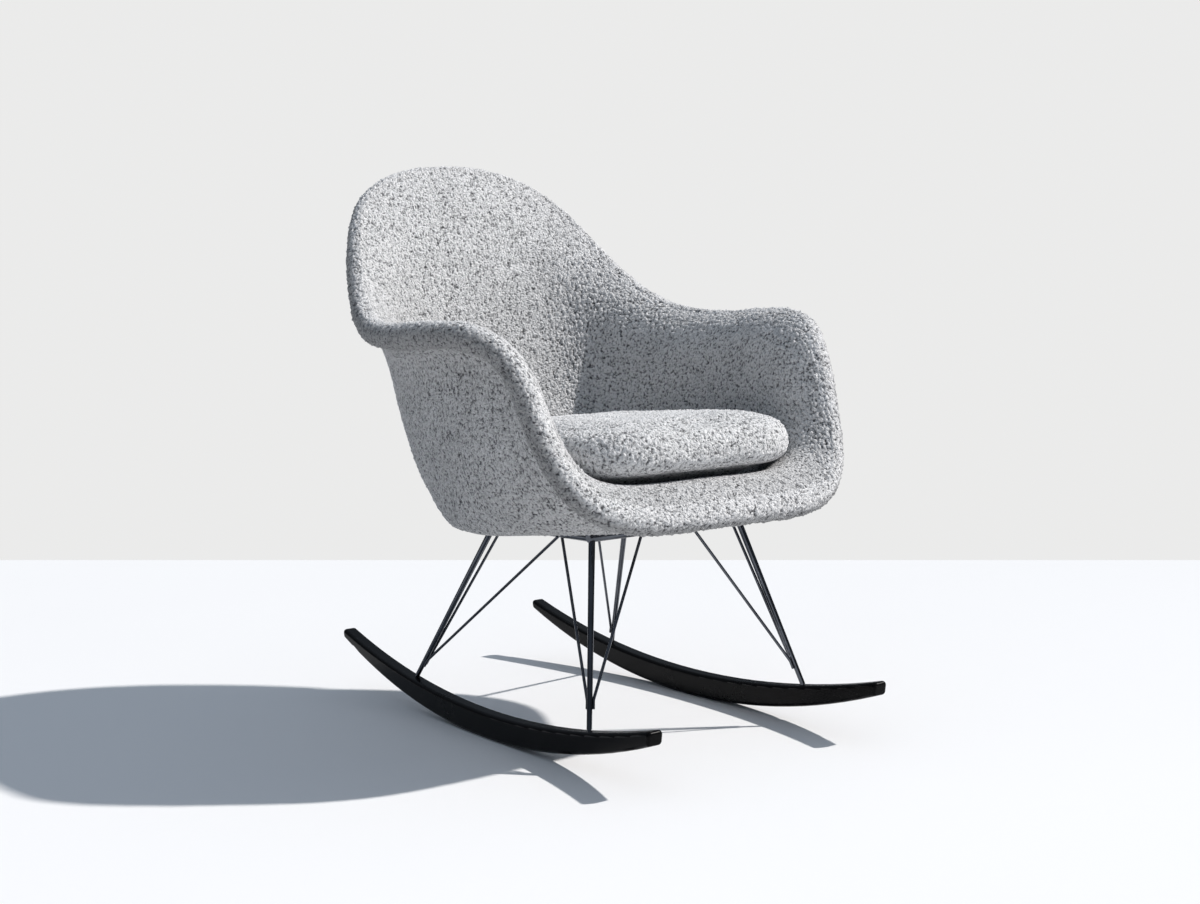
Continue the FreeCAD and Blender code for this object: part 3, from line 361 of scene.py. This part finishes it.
def cushion_piece():
    """The stuffed cushion: it starts from the core, a little smaller than its cover, and swells."""
    o = link("seat_cushion", nodes["cushion_core"].data.copy())
    o.data.materials.clear()
    m = o.modifiers.new("even", "REMESH")
    m.mode = "VOXEL"
    m.voxel_size = 0.004 if FINE else 0.008
    apply_modifiers(o)
    rest = coords(o.data)
    nor = vertex_normals(o.data)
    if SIMULATE:
        c = o.modifiers.new("stuffing", "CLOTH")
        s = c.settings
        s.quality = 5
        s.mass = 0.25
        s.tension_stiffness = s.compression_stiffness = 25
        s.shear_stiffness = 10
        s.bending_stiffness = 2.0
        s.use_pressure = True
        s.uniform_pressure_force = 4.0
        s.effector_weights.gravity = 0.0
        c.collision_settings.use_collision = False
        c.point_cache.frame_start, c.point_cache.frame_end = 1, 20
        for f in range(1, 21):
            scene.frame_set(f)
        dg = bpy.context.evaluated_depsgraph_get()
        swollen = coords(o.evaluated_get(dg).data)
        o.modifiers.clear()
        scene.frame_set(1)
    else:
        swollen = rest + nor * 0.004
    # the cover's own size is the limit: 2.4 mm below and at the sides, more over the crown
    z = rest[:, 2]
    top = np.clip((z - 0.392) / 0.02, 0, 1)
    front = np.clip((-0.25 - rest[:, 1]) / 0.05, 0, 1) * np.clip((z - 0.36) / 0.02, 0, 1)
    cap = 0.0018 + 0.0026 * top + 0.0012 * front
    move = swollen - rest
    size = np.linalg.norm(move, axis=1)
    move *= np.minimum(1.0, cap / np.maximum(size, 1e-9))[:, None]
    out = (move * nor).sum(-1)
    move += nor * np.maximum(0.0, 0.0012 - out)[:, None] * 0.5
    p = rest + move
    o.data.vertices.foreach_set("co", p.astype(np.float32).reshape(-1))
    o.data.update()
    if FINE:
        s = o.modifiers.new("smooth", "SUBSURF")
        s.levels = s.render_levels = 1
        s.subdivision_type = "CATMULL_CLARK"
        apply_modifiers(o)
    p, nor = coords(o.data), vertex_normals(o.data)
    h = pile_height(p + 0.17)
    low = np.clip((0.378 - p[:, 2]) / 0.012, 0, 1)                 # below the seam the pile is pressed in
    up = 0.0048 * (h - 0.50) + 0.0009 * swells(p, 0.05, 31) + 0.0005 * swells(p, 0.02, 32)
    move = up * (1 - low) + (np.minimum(up, 0.0) - 0.0002) * low
    p = p + nor * move[:, None]
    o.data.vertices.foreach_set("co", p.astype(np.float32).reshape(-1))
    a = o.data.attributes.new("pile", "FLOAT", "POINT")
    a.data.foreach_set("value", h.astype(np.float32))
    o.data.polygons.foreach_set("use_smooth", np.ones(len(o.data.polygons), bool))
    # a map of two round islands, the top and the underside
    me = o.data
    loops = np.empty(len(me.loops), np.int32)
    me.loops.foreach_get("vertex_index", loops)
    counts = np.empty(len(me.polygons), np.int32)
    me.polygons.foreach_get("loop_total", counts)
    centre = np.empty(len(me.polygons) * 3, np.float32)
    me.polygons.foreach_get("center", centre)
    above = np.repeat(centre.reshape(-1, 3)[:, 2] > 0.384, counts)
    q = p[loops]
    d = q[:, :2] - np.array([0.0, -0.119])
    r = np.maximum(np.linalg.norm(d, axis=1, keepdims=True), 1e-6)
    grow = np.where(above, np.clip(0.43 - q[:, 2], 0, 1), np.clip(q[:, 2] - 0.32, 0, 1))[:, None]
    w = d * (1 + grow / np.maximum(r, 0.05)) / 0.62
    uv = np.stack([w[:, 0] + np.where(above, 0.25, 0.75), w[:, 1] * 0.7 + 0.5], -1)
    uv[:, 0] = np.where(above, np.clip(uv[:, 0] * 0.7 + 0.07, 0.005, 0.495), np.clip(uv[:, 0] * 0.7 + 0.23, 0.505, 0.995))
    layer = me.uv_layers.new(name="OFBake")
    layer.data.foreach_set("uv", np.clip(uv, 0.002, 0.998).astype(np.float32).reshape(-1))
    me.update()
    return o


# ------------------------------------------------------------------ materials
class Net:
    """A short way to write a node tree."""

    def __init__(self, name):
        self.mat = bpy.data.materials.new(name)
        self.mat.use_nodes = True
        self.t = self.mat.node_tree
        self.t.nodes.clear()
        self.out = self.t.nodes.new("ShaderNodeOutputMaterial")
        self.p = self.t.nodes.new("ShaderNodeBsdfPrincipled")
        self.t.links.new(self.p.outputs[0], self.out.inputs[0])

    def add(self, kind, **given):
        n = self.t.nodes.new(kind)
        for k, v in given.items():
            if k.startswith("in_"):
                key = k[3:].replace("_", " ")
                self.put(n, key, v)
            else:
                setattr(n, k, v)
        return n

    def put(self, n, key, v):
        s = n.inputs[int(key)] if key.isdigit() else n.inputs[key]
        if isinstance(v, bpy.types.NodeSocket):
            self.t.links.new(v, s)
        else:
            s.default_value = v

    def where(self):
        return self.add("ShaderNodeTexCoord").outputs["Object"]

    def scaled(self, v, s):
        return self.add("ShaderNodeMapping", in_Vector=v, in_Scale=s).outputs[0]

    def noise(self, v, scale, detail=3.0, rough=0.55, distortion=0.0):
        return self.add("ShaderNodeTexNoise", in_Vector=v, in_Scale=scale, in_Detail=detail, in_Roughness=rough, in_Distortion=distortion).outputs[0]

    def cells(self, v, scale, feature="F1"):
        n = self.add("ShaderNodeTexVoronoi", in_Vector=v, in_Scale=scale)
        n.feature = feature
        return n.outputs["Distance"]

    def math(self, op, a, b=0.5, c=0.5):
        return self.add("ShaderNodeMath", operation=op, in_0=a, in_1=b, in_2=c).outputs[0]

    def span(self, v, a, b, c, d):
        return self.add("ShaderNodeMapRange", in_Value=v, in_From_Min=a, in_From_Max=b, in_To_Min=c, in_To_Max=d).outputs[0]

    def ramp(self, v, *stops):
        n = self.add("ShaderNodeValToRGB", in_0=v)
        e = n.color_ramp.elements
        while len(e) > 1:
            e.remove(e[-1])
        e[0].position, e[0].color = stops[0][0], (*stops[0][1], 1)
        for at, colour in stops[1:]:
            s = e.new(at)
            s.color = (*colour, 1)
        return n.outputs[0]

    def bump(self, height, strength, distance, normal=None):
        n = self.add("ShaderNodeBump", in_Height=height, in_Strength=strength, in_Distance=distance)
        if normal is not None:
            self.t.links.new(normal, n.inputs["Normal"])
        return n.outputs[0]

    def set(self, **given):
        for k, v in given.items():
            self.put(self.p, k.replace("_", " "), v)
        return self.mat


def boucle():
    m = Net("boucle")
    o = m.where()
    pile = m.add("ShaderNodeAttribute", attribute_name="pile").outputs["Fac"]
    fine = m.noise(o, 420.0, 2.0, 0.6, 1.2)
    loop = m.cells(o, 330.0)
    outside = m.add("ShaderNodeAttribute", attribute_name="outside").outputs["Fac"]
    mid = m.noise(o, 330.0, 1.0, 0.5, 0.6)
    # the colour is darker where the pile is low and at random: partly the yarn's dark-grey loops, partly painted
    # shade in the gaps between loops
    mixed = m.math("ADD", m.span(pile, 0.28, 0.72, 0.0, 0.5), m.math("ADD", m.span(mid, 0.3, 0.7, 0.0, 0.46), m.math("MULTIPLY", fine, 0.12)))
    colour = m.ramp(mixed, (0.20, (0.08, 0.08, 0.084)), (0.36, (0.32, 0.322, 0.332)), (0.50, (0.70, 0.703, 0.714)), (0.74, (0.94, 0.942, 0.95)))
    wide = m.noise(o, 14.0, 2.0, 0.5)
    # painted shade: the attribute darkens the cloth under the rolled edge, on the outside below it and deep in the
    # bucket; the outside's darker tone is partly its own cloth and partly painted shade; the wide noise is random
    # tone
    tone_and_painted_shade = m.math("MULTIPLY", m.span(wide, 0.3, 0.7, 0.93, 1.04), m.span(outside, 0.0, 2.0, 1.0, 0.44))
    colour = m.add("ShaderNodeMix", data_type="RGBA", blend_type="MULTIPLY", in_0=1.0, in_6=colour, in_7=m.add("ShaderNodeCombineColor", in_0=tone_and_painted_shade, in_1=tone_and_painted_shade, in_2=tone_and_painted_shade).outputs[0]).outputs[2]
    height = m.math("ADD", m.math("MULTIPLY", mid, 1.0), m.math("ADD", m.math("MULTIPLY", fine, 0.4), m.math("MULTIPLY", loop, -0.5)))
    return m.set(Base_Color=colour, Roughness=0.95, Specular_IOR_Level=0.12, Sheen_Weight=0.25, Sheen_Roughness=0.5, Normal=m.bump(height, 1.0, 0.0040))


def lacquer():
    m = Net("rocker_lacquer")
    o = m.where()
    grain = m.noise(m.scaled(o, (60.0, 3.0, 60.0)), 6.0, 4.0, 0.6, 0.4)
    dust = m.noise(o, 260.0, 2.0, 0.5)
    soft = m.noise(o, 9.0, 2.0, 0.5)
    colour = m.ramp(grain, (0.3, (0.0022, 0.0022, 0.0025)), (0.7, (0.0045, 0.0045, 0.005)))
    rough = m.math("ADD", m.span(soft, 0.3, 0.7, 0.16, 0.26), m.math("MULTIPLY", dust, 0.06))
    height = m.math("ADD", m.math("MULTIPLY", grain, 0.6), m.math("MULTIPLY", dust, 0.1))
    return m.set(Base_Color=colour, Roughness=rough, Specular_IOR_Level=0.06, Normal=m.bump(height, 0.25, 0.0004))


def gunmetal():
    m = Net("gunmetal")
    o = m.where()
    fine = m.noise(m.scaled(o, (500.0, 500.0, 40.0)), 1.0, 3.0, 0.6)
    soft = m.noise(o, 18.0, 2.0, 0.5)
    colour = m.ramp(soft, (0.3, (0.065, 0.07, 0.083)), (0.7, (0.11, 0.118, 0.135)))
    rough = m.math("ADD", m.span(soft, 0.3, 0.7, 0.09, 0.16), m.math("MULTIPLY", fine, 0.05))
    return m.set(Base_Color=colour, Metallic=1.0, Roughness=rough, Normal=m.bump(fine, 0.12, 0.0002))


def zinc():
    m = Net("zinc_plate")
    o = m.where()
    fine = m.noise(o, 900.0, 3.0, 0.6)
    cloud = m.noise(o, 90.0, 2.0, 0.5)
    colour = m.ramp(cloud, (0.3, (0.42, 0.43, 0.45)), (0.7, (0.58, 0.59, 0.60)))
    return m.set(Base_Color=colour, Metallic=1.0, Roughness=m.span(fine, 0.3, 0.7, 0.26, 0.42), Normal=m.bump(fine, 0.2, 0.0002))


def rubber():
    m = Net("mount_rubber")
    o = m.where()
    fine = m.noise(o, 700.0, 3.0, 0.6)
    colour = m.ramp(m.noise(o, 60.0, 2.0), (0.3, (0.014, 0.014, 0.014)), (0.7, (0.026, 0.026, 0.027)))
    return m.set(Base_Color=colour, Roughness=m.span(fine, 0.3, 0.7, 0.68, 0.86), Specular_IOR_Level=0.35, Normal=m.bump(fine, 0.3, 0.0003))


def plastic(name, low, high, roughness):
    m = Net(name)
    o = m.where()
    fine = m.noise(o, 1100.0, 2.0, 0.6)
    colour = m.ramp(m.noise(o, 45.0, 2.0), (0.3, low), (0.7, high))
    return m.set(Base_Color=colour, Roughness=m.span(fine, 0.3, 0.7, roughness - 0.07, roughness + 0.07), Specular_IOR_Level=0.4, Normal=m.bump(fine, 0.15, 0.0002))


def floor_paint():
    m = Net("studio_floor")
    o = m.where()
    c = m.ramp(m.noise(o, 0.7, 2.0, 0.5), (0.3, (0.885, 0.887, 0.893)), (0.7, (0.90, 0.902, 0.908)))
    return m.set(Base_Color=c, Roughness=0.62, Specular_IOR_Level=0.2)


MATS = {
    "wood": lacquer(), "rod": gunmetal(), "zinc": zinc(), "rubber": rubber(),
    "plug": plastic("plug_plastic", (0.012, 0.012, 0.013), (0.022, 0.022, 0.023), 0.5),
    "shell": plastic("shell_plastic", (0.05, 0.05, 0.052), (0.07, 0.07, 0.072), 0.55),
    "zip": plastic("zip_tape", (0.30, 0.30, 0.31), (0.42, 0.42, 0.43), 0.7),
    "boucle": boucle(),
}


def finish_of(name):
    if name.startswith("rocker"):
        return "wood"
    if name in ("mount_washers", "mount_bolts", "tee_nuts", "leg_screws"):
        return "zinc"
    if name == "shock_mounts":
        return "rubber"
    if name == "screw_plugs":
        return "plug"
    if name == "shell_moulding":
        return "shell"
    if name == "cushion_zip":
        return "zip"
    if name in ("inner_cover", "outer_cover", "inner_padding", "outer_padding", "cushion_core", "cushion_top_cover", "cushion_bottom_cover"):
        return "boucle"
    return "rod"


for name, o in nodes.items():
    mat = MATS[finish_of(name)]
    if not o.material_slots:
        o.data.materials.append(mat)
    for s in o.material_slots:
        s.material = mat

# ------------------------------------------------------------------ pieces
seat = bucket()
seat.data.materials.append(MATS["boucle"])
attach(seat, "chair")
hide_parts("inner_cover", "outer_cover", "inner_padding", "outer_padding")

cushion = cushion_piece()
cushion.data.materials.append(MATS["boucle"])
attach(cushion, "cushion")
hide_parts("cushion_core", "cushion_top_cover", "cushion_bottom_cover")

# ------------------------------------------------------------------ stage, light and camera
edge_a, edge_b = Vector((-0.202, 2.772, 0.0)), Vector((1.689, 0.201, 0.0))
run = (edge_b - edge_a).normalized()
near = Vector((run.y, -run.x, 0.0))
if near.dot(Vector((-1.174, -1.863, 0.0)) - edge_a) < 0:
    near = -near
mid = (edge_a + edge_b) / 2
corners = [mid - run * 30, mid + run * 30, mid + run * 30 + near * 40, mid - run * 30 + near * 40]
floor = link("studio_floor", make_mesh("studio_floor", np.array([list(c) for c in corners]) - (0, 0, 0.0002), [np.array([[3, 2, 1, 0]])]))
if floor.data.polygons[0].normal.z < 0:
    floor.data.flip_normals()
floor.data.materials.append(floor_paint())

sun = bpy.data.objects.new("key_light", bpy.data.lights.new("key_light", "SUN"))
sun.data.energy = 3.72
sun.data.angle = math.radians(1.6)
sun.data.color = (1.0, 0.965, 0.93)
sun.rotation_mode = "QUATERNION"
sun.rotation_quaternion = Vector((0.60, -0.39, 0.70)).normalized().to_track_quat("Z", "Y")
scene.collection.objects.link(sun)

world = bpy.data.worlds.new("studio")
scene.world = world
world.use_nodes = True
wt = world.node_tree
wt.nodes.clear()
wo = wt.nodes.new("ShaderNodeOutputWorld")
back = wt.nodes.new("ShaderNodeBackground")
back.inputs[0].default_value = (0.831, 0.831, 0.827, 1)
fill = wt.nodes.new("ShaderNodeBackground")
fill.inputs[0].default_value = (0.262, 0.303, 0.358, 1)
sky = wt.nodes.new("ShaderNodeTexCoord")
high = wt.nodes.new("ShaderNodeSeparateXYZ")
wt.links.new(sky.outputs["Generated"], high.inputs[0])
over = wt.nodes.new("ShaderNodeMapRange")
over.inputs["From Min"].default_value, over.inputs["From Max"].default_value = 0.0, 1.0
over.inputs["To Min"].default_value, over.inputs["To Max"].default_value = 0.08, 1.62
wt.links.new(high.outputs["Z"], over.inputs["Value"])
wt.links.new(over.outputs[0], fill.inputs[1])
path = wt.nodes.new("ShaderNodeLightPath")
mix = wt.nodes.new("ShaderNodeMixShader")
wt.links.new(path.outputs["Is Camera Ray"], mix.inputs[0])
wt.links.new(fill.outputs[0], mix.inputs[1])
wt.links.new(back.outputs[0], mix.inputs[2])
wt.links.new(mix.outputs[0], wo.inputs[0])
scene.view_settings.view_transform = "Standard"
scene.view_settings.look = "None"

az, el, roll = -0.579160, 0.0683865, -0.0513612
cb = Vector((math.sin(az) * math.cos(el), -math.cos(az) * math.cos(el), math.sin(el)))
right = (-cb).cross(Vector((0, 0, 1))).normalized()
up = right.cross(-cb)
cx = math.cos(roll) * right + math.sin(roll) * up
cy = -math.sin(roll) * right + math.cos(roll) * up
cam = bpy.data.objects.new("camera", bpy.data.cameras.new("camera"))
cam.data.sensor_fit = "HORIZONTAL"
cam.data.sensor_width = 36.0
cam.data.lens = 46.712
cam.data.clip_end = 100.0
m = Matrix((cx, cy, cb)).transposed().to_4x4()
m.translation = Vector((-1.17435, -1.86329, 0.52221))
cam.matrix_world = m
scene.collection.objects.link(cam)
scene.camera = cam
